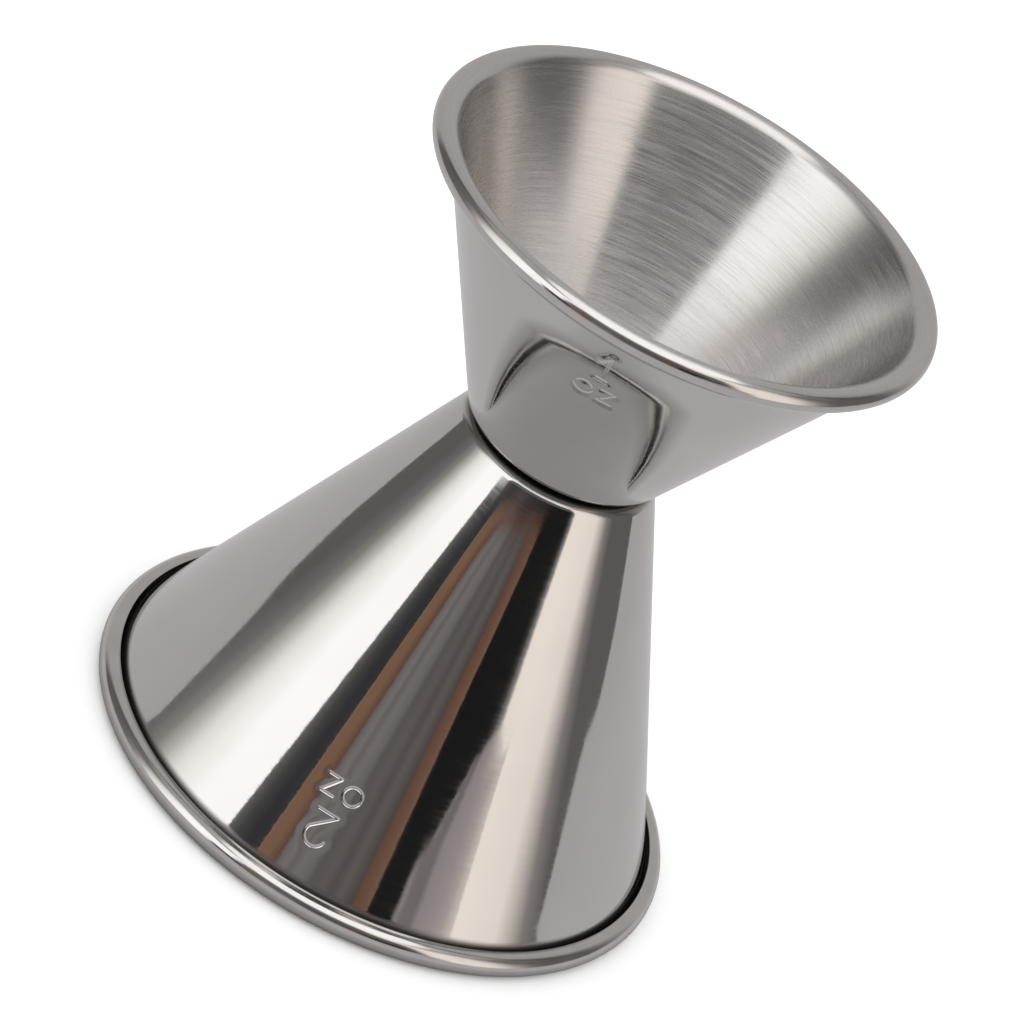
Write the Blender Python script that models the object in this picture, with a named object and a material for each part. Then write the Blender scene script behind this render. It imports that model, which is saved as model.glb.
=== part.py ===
"""Double-ended bar jigger: a 2 oz cup and a 1 oz cup of drawn steel, welded floor to floor.

Metres, +Z up. The jigger stands on the rim of its large cup, with the origin at the centre
of that rim. Each cup is one sheet: a flat floor, a rounded corner, a conical wall, and a rim
that is bent outwards over a lip and curled back towards the wall. The small cup's wall is a
little steeper above a slight bend.
"""

import math

import bmesh
import bpy

MM = 0.001

# Driving dimensions
HEIGHT = 74.0 * MM
WAIST_HEIGHT = 44.4 * MM     # outer face of the large cup's floor
SHEET = 0.7 * MM             # thickness of the steel sheet
FLOOR_GAP = 0.25 * MM        # clearance between the two floors
REST_FLAT = 0.3 * MM         # width of the narrow flat ring on top of each rim

WELD_RADIUS = 2.6 * MM       # the weld nugget between the floors
WELD_THICKNESS = 0.35 * MM
WELD_CLEARANCE = 0.25 * MM

# Each cup is described mouth up, with its floor's outer face at height 0
LARGE_CUP = {
    "depth": WAIST_HEIGHT,
    "rim_radius": 31.85 * MM,
    "curl_radius": 1.36 * MM,      # outside of the curl
    "curl_end": -109.0,            # degrees from horizontal where the curled edge stops
    "lip_radius": 0.8 * MM,        # bend from wall to curl, on the side of the drink
    "floor_radius": 9.74 * MM,     # flat part of the floor
    "corner_radius": 1.1 * MM,     # outside of the bend from floor to wall
    "bend": None,
}
SMALL_CUP = {
    "depth": HEIGHT - WAIST_HEIGHT - FLOOR_GAP,
    "rim_radius": 27.35 * MM,
    "curl_radius": 1.17 * MM,
    "curl_end": -140.0,
    "lip_radius": 1.7 * MM,
    "floor_radius": 8.44 * MM,
    "corner_radius": 3.3 * MM,
    "bend": (22.4 * MM, 22.15 * MM),  # radius and height on the wall's outside
}

# Facets
TURN_STEPS = 48
CORNER_STEPS = 3
LIP_STEPS = 3
CURL_STEPS = 9
WELD_STEPS = 24
SMOOTH_LIMIT = math.radians(40)


def clear_scene():
    for item in list(bpy.data.objects):
        bpy.data.objects.remove(item, do_unlink=True)


def steel(name, colour, roughness):
    """A bare metal material."""
    material = bpy.data.materials.new(name)
    material.use_nodes = True
    shader = material.node_tree.nodes["Principled BSDF"]
    shader.inputs["Base Color"].default_value = (*colour, 1.0)
    shader.inputs["Metallic"].default_value = 1.0
    shader.inputs["Roughness"].default_value = roughness
    return material


def arc(centre, radius, start, end, steps):
    """Points (radius, height) on an arc between two angles in degrees, both ends included."""
    points = []
    for step in range(steps + 1):
        angle = math.radians(start + (end - start) * step / steps)
        points.append((centre[0] + radius * math.cos(angle), centre[1] + radius * math.sin(angle)))
    return points


def wall_lean(start, end, reach):
    """Angle in degrees between the axis and a wall that runs from one bend's centre to the next.

    The wall passes outside the first centre and inside the second; reach is how far it passes
    from both of them together.
    """
    across = end[0] - start[0]
    along = end[1] - start[1]
    return math.degrees(math.atan2(across, along) - math.asin(reach / math.hypot(across, along)))


def cup_outline(cup):
    """The cup's cut section, from the axis on the floor's inside to the axis on its outside."""
    depth = cup["depth"]
    bend = cup["bend"]
    half_flat = REST_FLAT / 2
    curl_radius = cup["curl_radius"]
    lip_radius = cup["lip_radius"]
    corner_radius = cup["corner_radius"]

    # Lip and curl both end in the flat ring on top of the rim
    top = cup["rim_radius"] - curl_radius
    curl = (top, depth - math.sqrt(curl_radius**2 - half_flat**2))
    lip = (top, depth - math.sqrt(lip_radius**2 - half_flat**2))
    corner = (cup["floor_radius"], corner_radius)
    lip_flat = 90 + math.degrees(math.asin(half_flat / lip_radius))
    curl_flat = 90 - math.degrees(math.asin(half_flat / curl_radius))
    curl_end = cup["curl_end"]

    # The wall's lean above its corner and below its lip
    lip_outside = lip_radius - SHEET
    if bend:
        lean = wall_lean(corner, bend, corner_radius)
        lip_lean = wall_lean(bend, lip, lip_outside)
        between = math.radians((lean + lip_lean) / 2)
        bend_inside = [(bend[0] - SHEET * math.cos(between), bend[1] + SHEET * math.sin(between))]
        bend_outside = [bend]
    else:
        lean = wall_lean(corner, lip, corner_radius + lip_outside)
        lip_lean = lean
        bend_inside = []
        bend_outside = []

    inside = [(0.0, SHEET)]
    inside += arc(corner, corner_radius - SHEET, -90, -lean, CORNER_STEPS)
    inside += bend_inside
    inside += arc(lip, lip_radius, 180 - lip_lean, lip_flat, LIP_STEPS)
    inside += arc(curl, curl_radius, curl_flat, curl_end, CURL_STEPS)

    outside = arc(curl, curl_radius - SHEET, curl_end, 90, CURL_STEPS)
    outside += arc(lip, lip_outside, 90, 180 - lip_lean, LIP_STEPS)[1:]
    outside += bend_outside
    outside += arc(corner, corner_radius, -lean, -90, CORNER_STEPS)
    return inside + outside + weld_recess()


def weld_recess():
    """The dent in a floor's outer face that takes half of the weld nugget."""
    depth = (WELD_THICKNESS + 2 * WELD_CLEARANCE - FLOOR_GAP) / 2
    radius = WELD_RADIUS + WELD_CLEARANCE
    return [(radius, 0.0), (radius, depth), (0.0, depth)]


def turned(name, outline, steps, material):
    """One closed body, turned about Z from an outline that starts and ends on the axis."""
    mesh = bmesh.new()
    corners = [mesh.verts.new((radius, 0.0, height)) for radius, height in outline]
    edges = [mesh.edges.new(pair) for pair in zip(corners, corners[1:])]
    bmesh.ops.spin(
        mesh,
        geom=corners + edges,
        cent=(0.0, 0.0, 0.0),
        axis=(0.0, 0.0, 1.0),
        angle=2 * math.pi,
        steps=steps,
        use_merge=True,
    )
    bmesh.ops.remove_doubles(mesh, verts=mesh.verts[:], dist=0.001 * MM)
    bmesh.ops.recalc_face_normals(mesh, faces=mesh.faces[:])

    data = bpy.data.meshes.new(name)
    mesh.to_mesh(data)
    mesh.free()
    data.shade_smooth()
    data.set_sharp_from_angle(angle=SMOOTH_LIMIT)
    data.materials.append(material)
    piece = bpy.data.objects.new(name, data)
    bpy.context.scene.collection.objects.link(piece)
    return piece


def large_cup(material):
    """The 2 oz cup, mouth down, standing on its rim."""
    outline = [(radius, WAIST_HEIGHT - height) for radius, height in cup_outline(LARGE_CUP)]
    return turned("large_cup", outline, TURN_STEPS, material)


def small_cup(material):
    """The 1 oz cup, mouth up, on the large cup's floor."""
    base = WAIST_HEIGHT + FLOOR_GAP
    outline = [(radius, base + height) for radius, height in cup_outline(SMALL_CUP)]
    return turned("small_cup", outline, TURN_STEPS, material)


def weld_nugget(material):
    """The lens of fused steel that joins the two floors, thinner towards its edge."""
    middle = WAIST_HEIGHT + FLOOR_GAP / 2
    half = WELD_THICKNESS / 2
    shoulder = WELD_RADIUS - half
    outline = [
        (0.0, middle + half),
        (shoulder, middle + half),
        (WELD_RADIUS, middle),
        (shoulder, middle - half),
        (0.0, middle - half),
    ]
    return turned("weld_nugget", outline, WELD_STEPS, material)


clear_scene()
polished = steel("polished_steel", (0.63, 0.61, 0.59), 0.12)
fused = steel("fused_steel", (0.42, 0.41, 0.40), 0.5)
large_cup(polished)
small_cup(polished)
weld_nugget(fused)
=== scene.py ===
"""Looks of the double-ended bar jigger: two welded steel cups, mirror polished outside and
turned satin inside, with a stamped capacity mark on each wall, in a plain white studio.

Metres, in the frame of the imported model. Each cup is built mouth up with its floor at height 0,
then set in its place.
"""

import math

import bpy
import numpy as np
from mathutils import Matrix, Vector


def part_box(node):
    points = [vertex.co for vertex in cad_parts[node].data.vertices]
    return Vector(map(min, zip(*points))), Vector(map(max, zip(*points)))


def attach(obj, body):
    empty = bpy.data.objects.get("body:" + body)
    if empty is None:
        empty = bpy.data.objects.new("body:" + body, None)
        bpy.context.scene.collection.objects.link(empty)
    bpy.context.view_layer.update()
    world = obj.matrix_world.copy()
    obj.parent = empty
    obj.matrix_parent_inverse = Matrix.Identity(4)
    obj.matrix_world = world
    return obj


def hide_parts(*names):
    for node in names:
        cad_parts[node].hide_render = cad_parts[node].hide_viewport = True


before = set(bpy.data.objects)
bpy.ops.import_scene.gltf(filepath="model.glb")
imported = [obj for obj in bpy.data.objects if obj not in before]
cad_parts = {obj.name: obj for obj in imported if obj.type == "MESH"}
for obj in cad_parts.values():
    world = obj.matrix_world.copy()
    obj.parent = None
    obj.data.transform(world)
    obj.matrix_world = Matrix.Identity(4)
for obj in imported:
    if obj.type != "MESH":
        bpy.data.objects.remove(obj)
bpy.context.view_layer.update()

MM = 0.001

# Sizes that the frame gives
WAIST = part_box("large_cup")[1].z
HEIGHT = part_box("small_cup")[1].z
LARGE_RIM_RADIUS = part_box("large_cup")[1].x
SMALL_RIM_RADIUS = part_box("small_cup")[1].x

# The steel sheet and the joint between the cups
SHEET = 0.7 * MM
SEAM_GAP = 0.03 * MM
WELD_RADIUS = 2.6 * MM
WELD_DEPTH = 0.3 * MM
DENT_RADIUS = 3.2 * MM        # the dent that a welding electrode leaves in each floor
DENT_DEPTH = 0.07 * MM
DENT_FLAT = 0.8               # the share of the dent's radius that is level
EDGE_ROUND = 0.1 * MM
BEND_ROUND = 75 * MM          # how gently the small cup's wall bends below its rim
SATIN_END = 62.0              # degrees on the curl, from its outer side, where the satin stops

# Each cup, mouth up. The mark's place is its azimuth in degrees and how far along the wall it
# lies from the wall's lower end. stroke and halo are the (radius, depth), in millimetres, of
# what the stamp presses in and of the shallow hollow that the metal round it is pulled into.
LARGE_CUP = {
    "depth": WAIST,
    "rim_radius": LARGE_RIM_RADIUS,
    "curl_radius": 1.36 * MM,
    "curl_end": -109.0,
    "lip_radius": 0.8 * MM,
    "floor_radius": 9.74 * MM,
    "corner_radius": 1.1 * MM,
    "bend": None,
    "mark_azimuth": -86.1,
    "mark_slant": 35.1 * MM,
    "figure": 2,
    "stroke": (0.17, 0.07),
    "halo": (1.0, 0.018),
}
SMALL_CUP = {
    "depth": HEIGHT - WAIST - SEAM_GAP,
    "rim_radius": SMALL_RIM_RADIUS,
    "curl_radius": 1.17 * MM,
    "curl_end": -140.0,
    "lip_radius": 1.7 * MM,
    "floor_radius": 8.32 * MM,
    "corner_radius": 3.3 * MM,
    "bend": (22.4 * MM, 22.4 * MM),
    "mark_azimuth": -89.5,
    "mark_slant": 19.0 * MM,
    "figure": 1,
    "stroke": (0.18, 0.075),
    "halo": (1.15, 0.034),
}

# The stamped marks, in millimetres on the wall: x to the right, y towards the rim
MARK_HALF_WIDTH = 3.6
MARK_BOTTOM, MARK_TOP = -2.4, 8.0
MARK_PITCH = 0.075            # between points of the mesh across a mark
UNIT_RISE = 0.98              # half the height of the unit's letters
RING_MIDDLE = -1.2
ZIGZAG_LEFT, ZIGZAG_RIGHT = 0.55, 2.0
FIGURE_BASE = 2.6
FIGURE_WIDTH = 2.3
FIGURE_HEIGHT = 3.75
ONE_FOOT = 0.24               # half the width of the 1's foot, as a share of the figure's width
ONE_FLAG = 0.2                # the fall of the 1's flag, as a share of the figure's height

# The mesh: degrees between columns away from a mark, and rows on the stretches of a section
COARSE_STEP = 1.8
FLOOR_STEPS = 32
CORNER_STEPS = (8, 14)        # this pair and the next two are (inside, outside)
BEND_STEPS = (6, 64)
LIP_STEPS = (14, 10)
CURL_STEPS = (41, 24)         # (outer face, inner face)
SATIN_STEPS = 7               # on the curl, up to where the satin stops
EDGE_STEPS = 4                # on each rounded corner of the sheet's cut edge
WALL_STEPS = 7                # below the mark
HOLLOW_STEPS = 8              # on the hollow for the weld nugget
NUGGET_STEPS = 12             # on each face of the weld nugget
MARK_CLEAR = 0.2 * MM         # no other row comes as close to a mark's rows

# Painted shade darkens the steel in two creases, over these heights in metres
JOINT_SHADE_REACH = 0.45 * MM
FOOT_SHADE = (2.55 * MM, 3.25 * MM)

# What each strip of a cup's surface is finished with
POLISHED, SATIN, BEAD, DULL_SHADED = 0, 1, 2, 3


# ---------------------------------------------------------------- stamped marks


def arc_line(x, y, radius, start, end, steps=40):
    """Points on an arc, from one angle to another in degrees."""
    angles = np.radians(np.linspace(start, end, steps))
    return [(x + radius * math.cos(a), y + radius * math.sin(a)) for a in angles]


def figure_one():
    """Strokes of the figure 1: its foot, then its stem and flag."""
    half = ONE_FOOT * FIGURE_WIDTH
    top = FIGURE_BASE + FIGURE_HEIGHT
    flag = ONE_FLAG * FIGURE_HEIGHT
    return [
        [(-half, FIGURE_BASE), (half, FIGURE_BASE)],
        [(0.0, FIGURE_BASE), (0.0, top), (-half, top - flag)],
    ]


def figure_two():
    """The one stroke of the figure 2."""
    half = FIGURE_WIDTH / 2
    bowl = arc_line(0.0, FIGURE_BASE + FIGURE_HEIGHT - half, half, 165, -35)
    return [bowl + [(-half, FIGURE_BASE), (half, FIGURE_BASE)]]


def unit_oz():
    """Strokes of the unit: a ring and a zigzag."""
    ring = arc_line(RING_MIDDLE, 0.0, UNIT_RISE, 0, 360)
    zigzag = [(x, y) for y in (UNIT_RISE, -UNIT_RISE) for x in (ZIGZAG_LEFT, ZIGZAG_RIGHT)]
    return [ring, zigzag]


def stroke_distance(x, y, strokes):
    """Distance from each point to the nearest stroke."""
    nearest = np.full(x.shape, np.inf)
    for stroke in strokes:
        for (x0, y0), (x1, y1) in zip(stroke, stroke[1:]):
            dx, dy = x1 - x0, y1 - y0
            share = ((x - x0) * dx + (y - y0) * dy) / (dx * dx + dy * dy)
            share = np.clip(share, 0.0, 1.0)
            nearest = np.minimum(nearest, np.hypot(x - x0 - share * dx, y - y0 - share * dy))
    return nearest


def soft_pit(distance, radius):
    """1 at the middle, falling smoothly to 0 at the radius."""
    return 0.5 * (1.0 + np.cos(math.pi * np.clip(distance / radius, 0.0, 1.0)))


def stamp_depth(x, y, cup):
    """How deep the stamp presses the wall in at each point, in millimetres: the strokes, and
    the shallow hollow that they pull in round them."""
    strokes = (figure_one() if cup["figure"] == 1 else figure_two()) + unit_oz()
    distance = stroke_distance(x, y, strokes)
    pits = [depth * soft_pit(distance, radius) for radius, depth in (cup["stroke"], cup["halo"])]
    return pits[0] + pits[1]


# ---------------------------------------------------------------- turned shapes


def arc_rows(centre, radius, start, end, steps):
    """(radius, height) rows on an arc between two angles in degrees, both ends included."""
    angles = np.radians(np.linspace(start, end, steps + 1))
    return [(centre[0] + radius * math.cos(a), centre[1] + radius * math.sin(a)) for a in angles]


def tangent_lean(start, end, reach):
    """Angle between the axis and a wall that runs from one bend to the next. reach is how far
    the wall passes from their two centres together."""
    across = end[0] - start[0]
    along = end[1] - start[1]
    return math.degrees(math.atan2(across, along) - math.asin(reach / math.hypot(across, along)))


def bend_centre(bend, lean, lip_lean):
    """Centre of the wide arc that rounds the bend in the wall's outside."""
    back = BEND_ROUND * math.tan(math.radians(lean - lip_lean) / 2)
    tilt = math.radians(lean)
    return (
        bend[0] - back * math.sin(tilt) - BEND_ROUND * math.cos(tilt),
        bend[1] - back * math.cos(tilt) + BEND_ROUND * math.sin(tilt),
    )


def floor_inside_rows(radius):
    """The floor's inside, with the shallow round dent that the welding electrode leaves."""
    rows = []
    for share in np.linspace(0.0, 1.0, FLOOR_STEPS + 1)[:-1]:
        r = share * radius
        fall = (r / DENT_RADIUS - DENT_FLAT) / (1.0 - DENT_FLAT)
        fall = min(max(fall, 0.0), 1.0)
        dent = DENT_DEPTH * 0.5 * (1.0 + math.cos(math.pi * fall))
        rows.append((r, SHEET - dent))
    return rows


def floor_outside_rows(radius):
    """The floor's outside, from its edge to the axis, hollowed for half of the weld nugget."""
    rows = [(radius * share, 0.0) for share in (0.98, 0.8, 0.6, 0.45)]
    for share in np.linspace(1.0, 0.0, HOLLOW_STEPS + 1):
        rows.append((WELD_RADIUS * share, WELD_DEPTH * (1.0 - share**2)))
    return rows


def edge_rows(curl, radius, end):
    """The sheet's cut edge at the end of the curl, with its two corners rounded."""
    rows = []
    turn = math.degrees(EDGE_ROUND / radius)
    face = math.radians(end)
    back = math.radians(end + turn)
    out = np.array([math.cos(face), math.sin(face)])
    along = np.array([math.sin(face), -math.cos(face)])
    for centre_radius, first in ((radius - EDGE_ROUND, 0), (radius - SHEET + EDGE_ROUND, 90)):
        centre = np.array(curl) + centre_radius * np.array([math.cos(back), math.sin(back)])
        for angle in np.radians(np.linspace(first, first + 90, EDGE_STEPS + 1)):
            offset = math.cos(angle) * out + math.sin(angle) * along
            rows.append(tuple(centre + EDGE_ROUND * offset))
    return rows


def outside_wall(wall, mark_slant):
    """The wall's outside from top to bottom, with close rows where the mark is. Gives the rows,
    and how far each one is along the wall from its lower end."""
    wall = np.array(wall[::-1])
    along = np.concatenate([[0.0], np.cumsum(np.hypot(*np.diff(wall, axis=0).T))])
    low, high = mark_slant + MARK_BOTTOM * MM, mark_slant + MARK_TOP * MM
    close = np.linspace(low, high, round((MARK_TOP - MARK_BOTTOM) / MARK_PITCH) + 1)
    below = np.linspace(0.05 * MM, low - 0.5 * MM, WALL_STEPS + 1)
    wide = np.concatenate([below, along])
    wide = wide[(wide < low - MARK_CLEAR) | (wide > high + MARK_CLEAR)]
    slants = np.sort(np.concatenate([wide, close]))[::-1]
    rows = zip(np.interp(slants, along, wall[:, 0]), np.interp(slants, along, wall[:, 1]))
    return list(rows), slants


def cup_section(cup):
    """The cup's cut section as rows (radius, height), the finish of the strip that starts at
    each row, and the place along the wall of each row that can take the mark."""
    depth = cup["depth"]
    curl_radius = cup["curl_radius"]
    curl_end = cup["curl_end"]
    top = cup["rim_radius"] - curl_radius
    curl = (top, depth - curl_radius)
    lip = (top, depth - cup["lip_radius"])
    corner = (cup["floor_radius"], cup["corner_radius"])
    lip_outside = cup["lip_radius"] - SHEET
    turn = math.degrees(EDGE_ROUND / curl_radius)
    if cup["bend"]:
        lean = tangent_lean(corner, cup["bend"], cup["corner_radius"])
        lip_lean = tangent_lean(cup["bend"], lip, lip_outside)
        centre = bend_centre(cup["bend"], lean, lip_lean)
        bend_inside = arc_rows(centre, BEND_ROUND - SHEET, -lean, -lip_lean, BEND_STEPS[0])
        bend_outside = arc_rows(centre, BEND_ROUND, -lip_lean, -lean, BEND_STEPS[1])
    else:
        lean = tangent_lean(corner, lip, cup["corner_radius"] + lip_outside)
        lip_lean = lean
        bend_inside = bend_outside = []

    # Inside: the floor, the wall, the lip and the start of the curl
    rows = floor_inside_rows(cup["floor_radius"])
    rows += arc_rows(corner, cup["corner_radius"] - SHEET, -90, -lean, CORNER_STEPS[0])
    rows += bend_inside
    rows += arc_rows(lip, cup["lip_radius"], 180 - lip_lean, 90, LIP_STEPS[0])
    rows += arc_rows(curl, curl_radius, 90, SATIN_END, SATIN_STEPS)[1:-1]
    finish = [SATIN] * len(rows)

    # The curl, its cut edge, and back along the curl's inside
    rows += arc_rows(curl, curl_radius, SATIN_END, curl_end + turn, CURL_STEPS[0])[:-1]
    finish += [BEAD] * (len(rows) - len(finish))
    rows += edge_rows(curl, curl_radius, curl_end)
    rows += arc_rows(curl, curl_radius - SHEET, curl_end + 2 * turn, 90, CURL_STEPS[1])[1:-1]
    finish += [DULL_SHADED] * (len(rows) - len(finish))

    # Outside: under the lip, down the wall and across the floor
    rows += arc_rows(lip, lip_outside, 90, 180 - lip_lean, LIP_STEPS[1])
    corner_rows = arc_rows(corner, cup["corner_radius"], -lean, -90, CORNER_STEPS[1])
    wall = [rows.pop()] + bend_outside + [corner_rows.pop(0)]
    wall_rows, slants = outside_wall(wall, cup["mark_slant"])
    wall_start = len(rows)
    rows += wall_rows
    rows += corner_rows
    rows += floor_outside_rows(cup["floor_radius"])
    finish += [POLISHED] * (len(rows) - len(finish))
    return rows, finish, wall_start, slants


def columns(mark_azimuth, radius):
    """Azimuths in radians: coarse all round, close across the mark."""
    pitch = math.degrees(MARK_PITCH * MM / radius)
    half = math.degrees(MARK_HALF_WIDTH * MM / radius)
    first, last = mark_azimuth - half, mark_azimuth + half
    close = np.linspace(first, last, round(2 * half / pitch), endpoint=False)
    count = round((360 - 2 * half) / COARSE_STEP)
    coarse = np.linspace(last, first + 360, count, endpoint=False)
    return np.radians(np.concatenate([close, coarse]))


def turned_mesh(name, rows, finish, azimuths, shift=None):
    """A closed mesh turned about Z from rows that start and end on the axis. shift is how far
    each point is moved outwards and up."""
    rows = np.array(rows)
    inner = rows[1:-1]
    wide, tall = len(azimuths), len(inner)
    radius = np.repeat(inner[:, 0:1], wide, axis=1)
    height = np.repeat(inner[:, 1:2], wide, axis=1)
    if shift is not None:
        radius = radius + shift[0][1:-1]
        height = height + shift[1][1:-1]
    points = np.empty((tall, wide, 3))
    points[..., 0] = radius * np.cos(azimuths)
    points[..., 1] = radius * np.sin(azimuths)
    points[..., 2] = height
    poles = [(0.0, 0.0, rows[0, 1]), (0.0, 0.0, rows[-1, 1])]
    points = np.concatenate([points.reshape(-1, 3), poles])
    first_pole, last_pole = len(points) - 2, len(points) - 1

    here = np.arange(wide)
    after = (here + 1) % wide
    faces = [(first_pole, b, a) for a, b in zip(here.tolist(), after.tolist())]
    slots = [finish[0]] * wide
    for row in range(tall - 1):
        low, high = row * wide, (row + 1) * wide
        quads = np.stack([low + here, low + after, high + after, high + here], axis=1)
        faces += quads.tolist()
        slots += [finish[row + 1]] * wide
    base = (tall - 1) * wide
    faces += [(base + a, base + b, last_pole) for a, b in zip(here.tolist(), after.tolist())]
    slots += [finish[-2]] * wide

    mesh = bpy.data.meshes.new(name)
    mesh.from_pydata(points.tolist(), [], faces)
    mesh.polygons.foreach_set("material_index", slots)
    mesh.shade_smooth()
    mesh.update()
    return mesh


def cup_mesh(name, cup):
    """One cup, mouth up with its floor at height 0, with its mark pressed into the wall."""
    rows, finish, wall_start, slants = cup_section(cup)
    wall = slice(wall_start, wall_start + len(slants))
    table = np.array(rows)
    middle = np.searchsorted(-slants, -cup["mark_slant"])
    azimuths = columns(cup["mark_azimuth"], table[wall][middle, 0])

    # Where each point of the wall is on the mark's own plan, in millimetres
    up = (slants[:, None] - cup["mark_slant"]) / MM
    turn = azimuths - math.radians(cup["mark_azimuth"])
    turn = (turn + math.pi) % (2 * math.pi) - math.pi
    across = table[wall, 0:1] * turn / MM
    up = np.broadcast_to(up, across.shape)
    inside = (np.abs(across) < MARK_HALF_WIDTH) & (up > MARK_BOTTOM) & (up < MARK_TOP)
    depth = np.where(inside, stamp_depth(across, up, cup), 0.0) * MM

    # The mark is pressed in square to the wall
    run = np.gradient(table[wall], axis=0)
    tilt = np.arctan2(run[:, 0:1], run[:, 1:2]) + math.pi
    radial = np.zeros((len(rows), len(azimuths)))
    axial = np.zeros_like(radial)
    radial[wall] = -depth * np.cos(tilt)
    axial[wall] = depth * np.sin(tilt)
    return turned_mesh(name, rows, finish, azimuths, (radial, axial))


# ---------------------------------------------------------------- materials

# The colour of the painted shade in the two creases, and the roughness added there
CREASE_SHADE = (0.16, 0.148, 0.14)
CREASE_SHADE_ROUGHNESS = 0.3
TINY = 0.001 * MM             # keeps a division safe on the axis
NOISE_LOW, NOISE_HIGH = 0.3, 0.7      # Blender's noise stays mostly between these


def new_material(name):
    """A new material, its node tree and its shader."""
    material = bpy.data.materials.new(name)
    material.use_nodes = True
    return material, material.node_tree, material.node_tree.nodes["Principled BSDF"]


def math_node(tree, operation, first, second=None):
    """The result of one sum, from numbers or other nodes' outputs."""
    node = tree.nodes.new("ShaderNodeMath")
    node.operation = operation
    for index, value in enumerate((first, second)):
        if value is None:
            continue
        if isinstance(value, (int, float)):
            node.inputs[index].default_value = value
        else:
            tree.links.new(value, node.inputs[index])
    return node.outputs[0]


def object_coordinates(tree):
    """Metres in the piece's own frame."""
    return tree.nodes.new("ShaderNodeTexCoord").outputs["Object"]


def turned_coordinates(tree, round_scale, height_scale):
    """Coordinates that change slowly round the axis and fast along it, for lines left by
    turning. round_scale is features per radian, height_scale is features per metre."""
    split = tree.nodes.new("ShaderNodeSeparateXYZ")
    tree.links.new(object_coordinates(tree), split.inputs[0])
    x, y, z = split.outputs
    squares = [math_node(tree, "MULTIPLY", axis, axis) for axis in (x, y)]
    distance = math_node(tree, "SQRT", math_node(tree, "ADD", squares[0], squares[1]))
    radius = math_node(tree, "MAXIMUM", distance, TINY)
    join = tree.nodes.new("ShaderNodeCombineXYZ")
    for index, axis in enumerate((x, y)):
        direction = math_node(tree, "DIVIDE", axis, radius)
        tree.links.new(math_node(tree, "MULTIPLY", direction, round_scale), join.inputs[index])
    # On a flat floor the lines are rings, so the radius counts as well as the height
    run = math_node(tree, "ADD", z, radius)
    tree.links.new(math_node(tree, "MULTIPLY", run, height_scale), join.inputs[2])
    return join.outputs[0]


def noise(tree, vector, scale=1.0, detail=2.0, roughness=0.5):
    """Noise at these coordinates."""
    node = tree.nodes.new("ShaderNodeTexNoise")
    node.inputs["Scale"].default_value = scale
    node.inputs["Detail"].default_value = detail
    node.inputs["Roughness"].default_value = roughness
    tree.links.new(vector, node.inputs["Vector"])
    return node.outputs["Fac"]


def spread(tree, value, low, high):
    """Maps noise to a range."""
    node = tree.nodes.new("ShaderNodeMapRange")
    node.inputs["From Min"].default_value = NOISE_LOW
    node.inputs["From Max"].default_value = NOISE_HIGH
    node.inputs["To Min"].default_value = low
    node.inputs["To Max"].default_value = high
    tree.links.new(value, node.inputs["Value"])
    return node.outputs[0]


def tint(tree, value, dark, light):
    """A colour between two, by a value from 0 to 1."""
    node = tree.nodes.new("ShaderNodeMix")
    node.data_type = "RGBA"
    tree.links.new(value, node.inputs["Factor"])
    for name, colour in (("A", dark), ("B", light)):
        if isinstance(colour, tuple):
            node.inputs[name].default_value = (*colour, 1.0)
        else:
            tree.links.new(colour, node.inputs[name])
    return node.outputs["Result"]


def mottled(tree, grain, dark, light):
    """A colour that wanders between two with the noise."""
    return tint(tree, spread(tree, grain, 0.0, 1.0), dark, light)


def blended(tree, first, second, share):
    """Two values mixed, with this share of the first."""
    return math_node(
        tree,
        "ADD",
        math_node(tree, "MULTIPLY", first, share),
        math_node(tree, "MULTIPLY", second, 1.0 - share),
    )


def ramp(tree, value, start, end):
    """0 where the value is at start, 1 where it is at end, and smooth between."""
    node = tree.nodes.new("ShaderNodeMapRange")
    node.interpolation_type = "SMOOTHSTEP"
    node.inputs["From Min"].default_value = start
    node.inputs["From Max"].default_value = end
    tree.links.new(value, node.inputs["Value"])
    return node.outputs[0]


def bump(tree, height, distance):
    """The normal of a surface that rises by distance where the height is 1."""
    node = tree.nodes.new("ShaderNodeBump")
    node.inputs["Strength"].default_value = 1.0
    node.inputs["Distance"].default_value = distance
    tree.links.new(height, node.inputs["Height"])
    return node.outputs["Normal"]


def vector_math(tree, operation, first, second=None, scale=None):
    """The result of one sum with vectors."""
    node = tree.nodes.new("ShaderNodeVectorMath")
    node.operation = operation
    tree.links.new(first, node.inputs[0])
    if second is not None:
        tree.links.new(second, node.inputs[1])
    if scale is not None:
        tree.links.new(scale, node.inputs["Scale"])
    return node.outputs["Vector"]


def round_tangent(tree):
    """The direction round the axis, along the lines that turning leaves."""
    node = tree.nodes.new("ShaderNodeTangent")
    node.direction_type = "RADIAL"
    node.axis = "Z"
    return node.outputs[0]


def swung_normal(tree, value, amount, normal):
    """Swings the normal to and fro round the axis with the noise, by up to about amount each
    way."""
    middle = (NOISE_LOW + NOISE_HIGH) / 2
    gain = amount / (NOISE_HIGH - middle)
    swing = math_node(tree, "MULTIPLY", math_node(tree, "SUBTRACT", value, middle), gain)
    pushed = vector_math(tree, "SCALE", round_tangent(tree), scale=swing)
    return vector_math(tree, "NORMALIZE", vector_math(tree, "ADD", normal, pushed))


def unshaded_by_creases(tree):
    """1 on unshaded steel, 0 in the two creases that take painted shade: the joint between the cups,
    and the foot of the large cup's wall inside its curl."""
    split = tree.nodes.new("ShaderNodeSeparateXYZ")
    tree.links.new(object_coordinates(tree), split.inputs[0])
    height = split.outputs["Z"]
    from_joint = math_node(tree, "ABSOLUTE", math_node(tree, "SUBTRACT", height, WAIST))
    joint = ramp(tree, from_joint, 0.0, JOINT_SHADE_REACH)
    foot = ramp(tree, height, *FOOT_SHADE)
    return math_node(tree, "MINIMUM", joint, foot)


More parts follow.
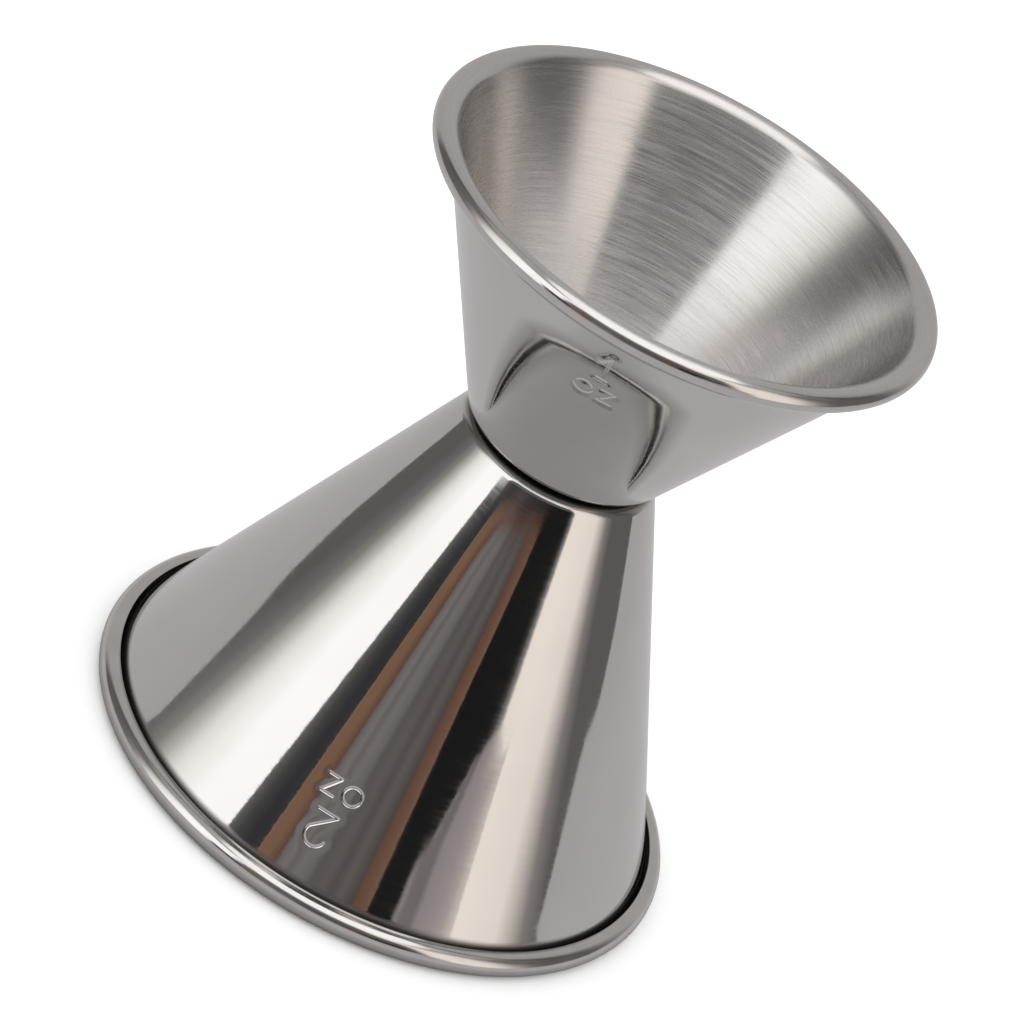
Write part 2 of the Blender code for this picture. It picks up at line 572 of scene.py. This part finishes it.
def polished_steel():
    """Mirror polish over the fine rings that turning left, with faint clouds of wear."""
    material, tree, shader = new_material("polished_steel")
    shader.inputs["Metallic"].default_value = 1.0
    rings = noise(tree, turned_coordinates(tree, 4.0, 7000.0), detail=1.0)
    strands = noise(tree, turned_coordinates(tree, 8.0, 2500.0), detail=2.0, roughness=0.6)
    cloud = noise(tree, object_coordinates(tree), scale=90.0, detail=3.0)
    waves = noise(tree, turned_coordinates(tree, 1.5, 160.0), detail=1.0)
    # Painted shade: the colour goes dark in the two creases
    unshaded = unshaded_by_creases(tree)
    steel = mottled(tree, cloud, (0.605, 0.592, 0.582), (0.635, 0.622, 0.612))
    tree.links.new(tint(tree, unshaded, CREASE_SHADE, steel), shader.inputs["Base Color"])
    wear = math_node(tree, "ADD", spread(tree, cloud, 0.03, 0.05), spread(tree, rings, 0.0, 0.03))
    shade_share = math_node(tree, "SUBTRACT", 1.0, unshaded)
    rough = math_node(tree, "ADD", wear, math_node(tree, "MULTIPLY", shade_share, CREASE_SHADE_ROUGHNESS))
    tree.links.new(rough, shader.inputs["Roughness"])
    waved = bump(tree, waves, 0.006 * MM)
    lines = blended(tree, rings, strands, 0.5)
    tree.links.new(swung_normal(tree, lines, 0.003, waved), shader.inputs["Normal"])
    return material


def bead_steel():
    """The rolled rims: buffed round the rim, a little softer than the walls."""
    material, tree, shader = new_material("bead_steel")
    shader.inputs["Metallic"].default_value = 1.0
    lines = noise(tree, turned_coordinates(tree, 7.0, 12000.0), detail=3.0, roughness=0.6)
    cloud = noise(tree, turned_coordinates(tree, 12.0, 500.0), detail=3.0)
    steel = mottled(tree, cloud, (0.590, 0.573, 0.565), (0.635, 0.620, 0.610))
    tree.links.new(steel, shader.inputs["Base Color"])
    wear = math_node(tree, "ADD", spread(tree, cloud, 0.10, 0.15), spread(tree, lines, -0.02, 0.04))
    tree.links.new(wear, shader.inputs["Roughness"])
    tree.links.new(bump(tree, lines, 0.0006 * MM), shader.inputs["Normal"])
    return material


def dull_shaded_steel():
    """The inside of the curls and the sheet's cut edge, which no wheel reaches: rough, and with
    painted shade in its dark colour.
    """
    material, tree, shader = new_material("dull_shaded_steel")
    shader.inputs["Metallic"].default_value = 1.0
    grain = noise(tree, object_coordinates(tree), scale=1800.0, detail=4.0)
    # Painted shade: the colour is kept dark for the shade inside the curl
    steel = mottled(tree, grain, (0.10, 0.095, 0.09), (0.20, 0.19, 0.18))
    tree.links.new(steel, shader.inputs["Base Color"])
    tree.links.new(spread(tree, grain, 0.5, 0.7), shader.inputs["Roughness"])
    return material


def satin_steel():
    """The inside, left as turned: fine lines round the axis that spread light across them.
    Some lines are rougher than others, so they catch more light from above."""
    material, tree, shader = new_material("satin_steel")
    shader.inputs["Metallic"].default_value = 1.0
    shader.inputs["Anisotropic"].default_value = 0.8
    shader.inputs["Anisotropic Rotation"].default_value = 0.25
    tree.links.new(round_tangent(tree), shader.inputs["Tangent"])
    fine = noise(tree, turned_coordinates(tree, 4.0, 9000.0), detail=2.0, roughness=0.6)
    broad = noise(tree, turned_coordinates(tree, 2.5, 3200.0), detail=1.0)
    cloud = noise(tree, object_coordinates(tree), scale=150.0, detail=2.0)
    lines = blended(tree, fine, broad, 0.6)
    steel = mottled(tree, lines, (0.60, 0.585, 0.575), (0.67, 0.655, 0.645))
    tree.links.new(steel, shader.inputs["Base Color"])
    rough = math_node(tree, "ADD", spread(tree, lines, 0.16, 0.34), spread(tree, cloud, -0.015, 0.015))
    tree.links.new(rough, shader.inputs["Roughness"])
    ground = bump(tree, lines, 0.001 * MM)
    tree.links.new(swung_normal(tree, fine, 0.008, ground), shader.inputs["Normal"])
    return material


def fused_steel():
    """The weld nugget: dull, grainy metal."""
    material, tree, shader = new_material("fused_steel")
    shader.inputs["Metallic"].default_value = 1.0
    grain = noise(tree, object_coordinates(tree), scale=2500.0, detail=3.0)
    steel = mottled(tree, grain, (0.36, 0.35, 0.34), (0.46, 0.45, 0.44))
    tree.links.new(steel, shader.inputs["Base Color"])
    tree.links.new(spread(tree, grain, 0.42, 0.6), shader.inputs["Roughness"])
    tree.links.new(bump(tree, grain, 0.02 * MM), shader.inputs["Normal"])
    return material


# ---------------------------------------------------------------- the jigger


def add_piece(name, mesh, materials, node):
    """Puts a piece in the scene, in place of a CAD node."""
    for material in materials:
        mesh.materials.append(material)
    piece = bpy.data.objects.new(name, mesh)
    bpy.context.scene.collection.objects.link(piece)
    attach(piece, "root")
    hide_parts(node)
    return piece


def make_jigger():
    """Both cups, and the weld nugget that fills the hollows between their floors."""
    finishes = [polished_steel(), satin_steel(), bead_steel(), dull_shaded_steel()]
    large = cup_mesh("large_cup_sheet", LARGE_CUP)
    large.transform(Matrix.Translation((0.0, 0.0, WAIST)) @ Matrix.Rotation(math.pi, 4, "Y"))
    add_piece("large_cup_sheet", large, finishes, "large_cup")

    small = cup_mesh("small_cup_sheet", SMALL_CUP)
    small.transform(Matrix.Translation((0.0, 0.0, WAIST + SEAM_GAP)))
    add_piece("small_cup_sheet", small, finishes, "small_cup")

    clearance = 0.01 * MM
    middle = WAIST + SEAM_GAP / 2
    half = SEAM_GAP / 2 + WELD_DEPTH - clearance
    radius = WELD_RADIUS - clearance
    shares = np.linspace(0.0, 0.96, NUGGET_STEPS + 1)
    top = [(radius * share, middle + half * (1.0 - share**2)) for share in shares]
    bottom = [(r, 2 * middle - z) for r, z in reversed(top)]
    rows = top + [(radius * 0.985, middle)] + bottom
    lens = turned_mesh("weld_lens", rows, [POLISHED] * len(rows), np.radians(np.arange(0, 360, 5)))
    add_piece("weld_lens", lens, [fused_steel()], "weld_nugget")


# ---------------------------------------------------------------- the studio

# The steel mirrors the studio, which is built of plain glowing cards round the jigger. Azimuths
# are in degrees, and the camera stands at 270.
CARD_RADIUS = 0.40
CARD_FOOT, CARD_TOP = -0.02, 0.52
CARD_STEP = 2.0               # the most degrees between columns of a wall card
RING_STEPS = 180              # columns of a round card
ROOM_RADIUS = 0.46
ROOM_FOOT, ROOM_TOP = -0.08, 0.60
LAMP_HEIGHT = 0.55
BOOM_HEIGHT = 0.545
ARM_HALF_WIDTH = 8            # degrees
TABLE_LEVEL = -0.4 * MM       # just under the rim, so that the two never touch
FLOOR_REACH = 6.0

# Light that each card gives, as red, green and blue
BLACK = (0.014, 0.014, 0.014)
INK = (0.045, 0.046, 0.052)
IRON = (0.13, 0.12, 0.115)
DARK = (0.155, 0.147, 0.143)
GREY = (0.50, 0.485, 0.475)
WHITE = (1.55, 1.54, 1.53)
CREAM = (1.23, 1.14, 1.05)
RUST = (0.15, 0.065, 0.045)
TAN = (0.27, 0.155, 0.10)


def mixed(first, second, share):
    """A colour this share of the way from the first to the second."""
    return tuple(a + (b - a) * share for a, b in zip(first, second))


def glowing(name):
    """A surface that gives the light stored at its points."""
    material = bpy.data.materials.new(name)
    material.use_nodes = True
    tree = material.node_tree
    tree.nodes.clear()
    stored = tree.nodes.new("ShaderNodeAttribute")
    stored.attribute_name = "glow"
    shine = tree.nodes.new("ShaderNodeEmission")
    out = tree.nodes.new("ShaderNodeOutputMaterial")
    tree.links.new(stored.outputs["Color"], shine.inputs["Color"])
    tree.links.new(shine.outputs[0], out.inputs["Surface"])
    return material


def add_card(name, points, faces, glow, material):
    """A studio card that only shows in the metal, so that it never hides the jigger. glow is
    the light of each point."""
    mesh = bpy.data.meshes.new(name)
    mesh.from_pydata(points, [], faces)
    stored = mesh.color_attributes.new("glow", "FLOAT_COLOR", "POINT")
    for point, colour in zip(stored.data, glow):
        point.color = (*colour, 1.0)
    mesh.materials.append(material)
    card = bpy.data.objects.new(name, mesh)
    bpy.context.scene.collection.objects.link(card)
    card.visible_camera = False
    card.visible_diffuse = False
    card.visible_shadow = False
    card.visible_transmission = False
    card.visible_volume_scatter = False
    return card


def wall_card(name, radius, levels, stops, material, pivot=270.0):
    """An upright card bent round the jigger. stops are (azimuth, light) and levels are (height,
    spread, blend). At each level the card is spread times as wide, measured from the pivot
    azimuth, and blend is the share of the room's grey in its light."""
    stations = [stops[0]]
    for (start, first), (end, last) in zip(stops, stops[1:]):
        steps = math.ceil((end - start) / CARD_STEP)
        for step in range(1, steps + 1):
            share = step / steps
            stations.append((start + (end - start) * share, mixed(first, last, share)))
    points, glow, faces = [], [], []
    for height, spread_by, blend in levels:
        for azimuth, light in stations:
            angle = math.radians(pivot + (azimuth - pivot) * spread_by)
            points.append((radius * math.cos(angle), radius * math.sin(angle), height))
            glow.append(mixed(light, GREY, blend))
    count = len(stations)
    for level in range(len(levels) - 1):
        for index in range(count - 1):
            at = level * count + index
            faces.append((at, at + count, at + count + 1, at + 1))
    return add_card(name, points, faces, glow, material)


# The table's rim is warped. Here is its height in millimetres, by how far towards the front it
# lies, from -1 at the back to 1 at the front. Its reflection is the wavy line on the large cup
# between the table's grey and the dark or bright cards above it.
TABLE_EDGE = [
    (-0.41, 28.0), (-0.31, 18.0), (-0.21, 17.0), (-0.10, 20.5), (-0.05, 18.0),
    (0.0, 13.5), (0.06, 7.0), (0.12, 5.0), (0.45, 5.0), (0.80, 46.0),
]
TABLE_TURN = 2.3              # degrees that the warp is turned from the front
RIPPLE_HEIGHT = 0.8 * MM
RIPPLES = 22                  # small waves round the rim


def table_edge(angle):
    """Height of the table's rim in metres."""
    towards_front = -math.sin(angle - math.radians(TABLE_TURN))
    warp = MM * float(np.interp(towards_front, *zip(*TABLE_EDGE)))
    return warp + RIPPLE_HEIGHT * math.sin(RIPPLES * angle)


def round_card(name, rings, material):
    """A level card of rings, each (radius, height, light, share of the table rim's warp)."""
    points, glow, faces = [(0.0, 0.0, rings[0][1])], [rings[0][2]], []
    for radius, height, light, warp in rings:
        for step in range(RING_STEPS):
            angle = 2 * math.pi * step / RING_STEPS
            up = height + warp * table_edge(angle)
            points.append((radius * math.cos(angle), radius * math.sin(angle), up))
            glow.append(light)
    for step in range(RING_STEPS):
        after = (step + 1) % RING_STEPS
        faces.append((0, 1 + step, 1 + after))
        for ring in range(len(rings) - 1):
            low, high = 1 + ring * RING_STEPS, 1 + (ring + 1) * RING_STEPS
            faces.append((low + step, high + step, high + after, low + after))
    return add_card(name, points, faces, glow, material)


def flat_card(name, outline, height, light, material):
    """A level card with one light all over, from its corners (x, y) in turn."""
    points = [(x, y, height) for x, y in outline]
    return add_card(name, points, [tuple(range(len(points)))], [light] * len(points), material)


def make_room(glow):
    """Pale walls and ceiling, and a table with a painted shadow right under the rim."""
    walls = [(ROOM_FOOT, 1, 0), (ROOM_TOP, 1, 0)]
    wall_card("room_wall", ROOM_RADIUS, walls, [(0, GREY), (360, GREY)], glow)
    round_card("ceiling", [(ROOM_RADIUS, ROOM_TOP, GREY, 0)], glow)

    near, far = (0.57, 0.56, 0.565), (0.555, 0.535, 0.53)
    round_card("table_top", [
        # A painted shadow under the rim, dark at first and fading out
        (0.0306, TABLE_LEVEL, (0.10, 0.09, 0.09), 0),
        (0.0325, TABLE_LEVEL, (0.36, 0.35, 0.35), 0),
        (0.037, TABLE_LEVEL, near, 0),
        (0.12, TABLE_LEVEL, near, 0),
        (0.22, 6.0 * MM, far, 0),
        (0.27, 0.0, far, 1),
    ], glow)


def make_lamp(glow):
    """A lamp overhead that reaches to the front, with a dark arm and boom on each side."""
    lamp = [(-0.20, -0.45), (0.32, -0.42), (0.29, -0.07), (0.12, 0.17), (-0.08, 0.15), (-0.21, -0.14)]
    flat_card("overhead_lamp", lamp, LAMP_HEIGHT, (1.5, 1.46, 1.45), glow)
    levels = [(0.22, 1, 0), (0.40, 0.8, 0), (0.54, 0.6, 0)]
    sides = [
        ("left", 161, [(-0.38, 0.10), (-0.37, 0.15), (-0.08, 0.20), (-0.08, 0.15)]),
        ("right", 381, [(0.38, 0.11), (0.36, 0.165), (0.12, 0.22), (0.12, 0.165)]),
    ]
    for side, azimuth, boom in sides:
        stops = [(azimuth - ARM_HALF_WIDTH, IRON), (azimuth + ARM_HALF_WIDTH, IRON)]
        wall_card(f"arm_{side}", CARD_RADIUS - 5 * MM, levels, stops, glow, azimuth)
        flat_card(f"boom_{side}", boom, BOOM_HEIGHT, IRON, glow)


def make_sides(glow):
    """Dark side walls and bright soft boxes, which fade upwards into the room's grey."""
    levels = [(CARD_FOOT, 1, 0), (0.26, 1, 0), (CARD_TOP, 1, 0.4)]
    wall_card("side_left", CARD_RADIUS, levels, [(146, GREY), (156, DARK), (176, DARK)], glow)
    wall_card("side_right", CARD_RADIUS, levels, [(360, DARK), (385, DARK), (405, GREY)], glow)
    levels = [(CARD_FOOT, 1, 0), (0.44, 1, 0), (CARD_TOP, 1, 0.5)]
    wall_card("soft_box_left", CARD_RADIUS, levels, [
        (176, DARK), (186, (0.22, 0.21, 0.21)), (192, (0.34, 0.33, 0.31)), (198, (0.70, 0.67, 0.64)),
        (204, (1.15, 1.12, 1.09)), (210, (1.36, 1.34, 1.30)), (219, WHITE), (247, WHITE),
    ], glow)
    wall_card("soft_box_right", CARD_RADIUS, levels, [
        (300, CREAM), (327, CREAM), (342, (1.14, 1.05, 0.98)), (348, (0.72, 0.66, 0.62)),
        (353, (0.33, 0.30, 0.29)), (360, DARK),
    ], glow)


def make_flag(glow):
    """A black flag in front of the soft boxes, wide below and narrower above."""
    levels = [
        (CARD_FOOT, 1, 0), (0.1545, 1, 0), (0.1575, 0.975, 0), (0.1605, 0.935, 0),
        (0.1640, 0.895, 0), (0.20, 0.893, 0.25), (0.38, 0.885, 0.25),
    ]
    wall_card("flag", CARD_RADIUS - 3 * MM, levels, [
        (234.2, (0.17, 0.17, 0.17)), (238.5, (0.08, 0.08, 0.08)), (243, INK), (256, INK),
        (270, BLACK), (311.5, BLACK), (314, (0.05, 0.05, 0.05)), (316.5, (0.28, 0.27, 0.26)),
        (318, (0.75, 0.69, 0.65)),
    ], glow, 316.5)


def make_stand(glow):
    """A stand in front of the flag: a tan arch round a grey panel with faint upright stripes."""
    arch = [
        (CARD_FOOT, 0.94, 0), (0.110, 0.95, 0), (0.150, 0.965, 0), (0.157, 0.93, 0),
        (0.1608, 0.79, 0), (0.1640, 0.55, 0), (0.1660, 0.22, 0),
    ]
    wall_card("stand_frame", CARD_RADIUS - 10 * MM, arch, [
        (246.0, (0.34, 0.22, 0.16)), (247.5, TAN), (251, TAN), (256, RUST), (283, RUST),
        (288, (0.18, 0.095, 0.065)), (292.5, (0.22, 0.125, 0.085)), (294, (0.28, 0.17, 0.12)),
    ], glow)
    arch = [
        (CARD_FOOT, 0.96, 0), (0.110, 0.97, 0), (0.148, 0.95, 0), (0.1535, 0.89, 0),
        (0.1575, 0.74, 0), (0.1595, 0.40, 0),
    ]
    wall_card("stand_panel", CARD_RADIUS - 20 * MM, arch, [
        (254.5, (0.11, 0.08, 0.075)), (256, (0.22, 0.19, 0.18)), (259, (0.26, 0.245, 0.24)),
        (261, (0.19, 0.175, 0.17)), (264, (0.25, 0.235, 0.23)), (268, (0.21, 0.195, 0.19)),
        (270, (0.145, 0.133, 0.128)), (275, (0.165, 0.145, 0.145)), (279, (0.12, 0.11, 0.107)),
        (282, (0.17, 0.15, 0.148)), (287.5, (0.10, 0.085, 0.08)),
    ], glow)


def make_low_board(glow):
    """A pale board low down beside the stand, narrower towards its top."""
    levels = [(CARD_FOOT, 1, 0), (0.0920, 1, 0), (0.0935, 0.8, 0), (0.1050, 0.3, 0)]
    wall_card("low_board", CARD_RADIUS - 10 * MM, levels, [
        (302, (0.10, 0.095, 0.095)), (303.2, (0.38, 0.35, 0.35)), (305, (0.24, 0.215, 0.22)),
        (309, (0.23, 0.205, 0.21)), (311, (0.38, 0.34, 0.345)), (317, (0.43, 0.385, 0.385)),
        (321, (0.54, 0.49, 0.47)), (325, (0.85, 0.78, 0.73)),
    ], glow, 314)


def make_floor():
    """The white floor that the camera sees. The metal mirrors the table instead."""
    mesh = bpy.data.meshes.new("floor")
    corners = [(-1, -1), (1, -1), (1, 1), (-1, 1)]
    mesh.from_pydata([(x * FLOOR_REACH, y * FLOOR_REACH, 0.0) for x, y in corners], [], [(0, 1, 2, 3)])
    material, _, shader = new_material("floor_white")
    shader.inputs["Base Color"].default_value = (0.93, 0.93, 0.93, 1.0)
    shader.inputs["Roughness"].default_value = 0.9
    shader.inputs["Specular IOR Level"].default_value = 0.0
    mesh.materials.append(material)
    floor = bpy.data.objects.new("floor", mesh)
    bpy.context.scene.collection.objects.link(floor)
    floor.visible_glossy = False


def make_world():
    """Soft white light from all round, for the floor alone."""
    world = bpy.data.worlds.new("white_room")
    world.use_nodes = True
    background = world.node_tree.nodes["Background"]
    background.inputs["Color"].default_value = (1.0, 1.0, 1.0, 1.0)
    background.inputs["Strength"].default_value = 1.35
    world.cycles_visibility.glossy = False
    bpy.context.scene.world = world
    bpy.context.scene.view_settings.view_transform = "Standard"


def make_studio():
    """All the cards that the metal mirrors, and the floor and light that the camera sees."""
    glow = glowing("studio_glow")
    make_room(glow)
    make_lamp(glow)
    make_sides(glow)
    make_flag(glow)
    make_stand(glow)
    make_low_board(glow)
    make_floor()
    make_world()


# ---------------------------------------------------------------- the camera

CAMERA_AIM = Vector((-0.0009, 0.0, 0.0345))
CAMERA_DISTANCE = 0.6084
CAMERA_ELEVATION = 30.98      # degrees
CAMERA_ROLL = 29.85           # degrees
CAMERA_LENS = 212.0


def make_camera():
    """The camera, in front of the jigger and above it, and tipped to one side."""
    elevation = math.radians(CAMERA_ELEVATION)
    back = Vector((0.0, -math.cos(elevation), math.sin(elevation)))
    right = Vector((1.0, 0.0, 0.0))
    up = back.cross(right)
    level = Matrix((right, up, back)).transposed().to_4x4()
    roll = Matrix.Rotation(math.radians(CAMERA_ROLL), 4, "Z")
    data = bpy.data.cameras.new("camera")
    data.lens = CAMERA_LENS
    data.clip_start = 0.01
    camera = bpy.data.objects.new("camera", data)
    bpy.context.scene.collection.objects.link(camera)
    camera.matrix_world = Matrix.Translation(CAMERA_AIM + back * CAMERA_DISTANCE) @ level @ roll
    bpy.context.scene.camera = camera


make_jigger()
make_studio()
make_camera()
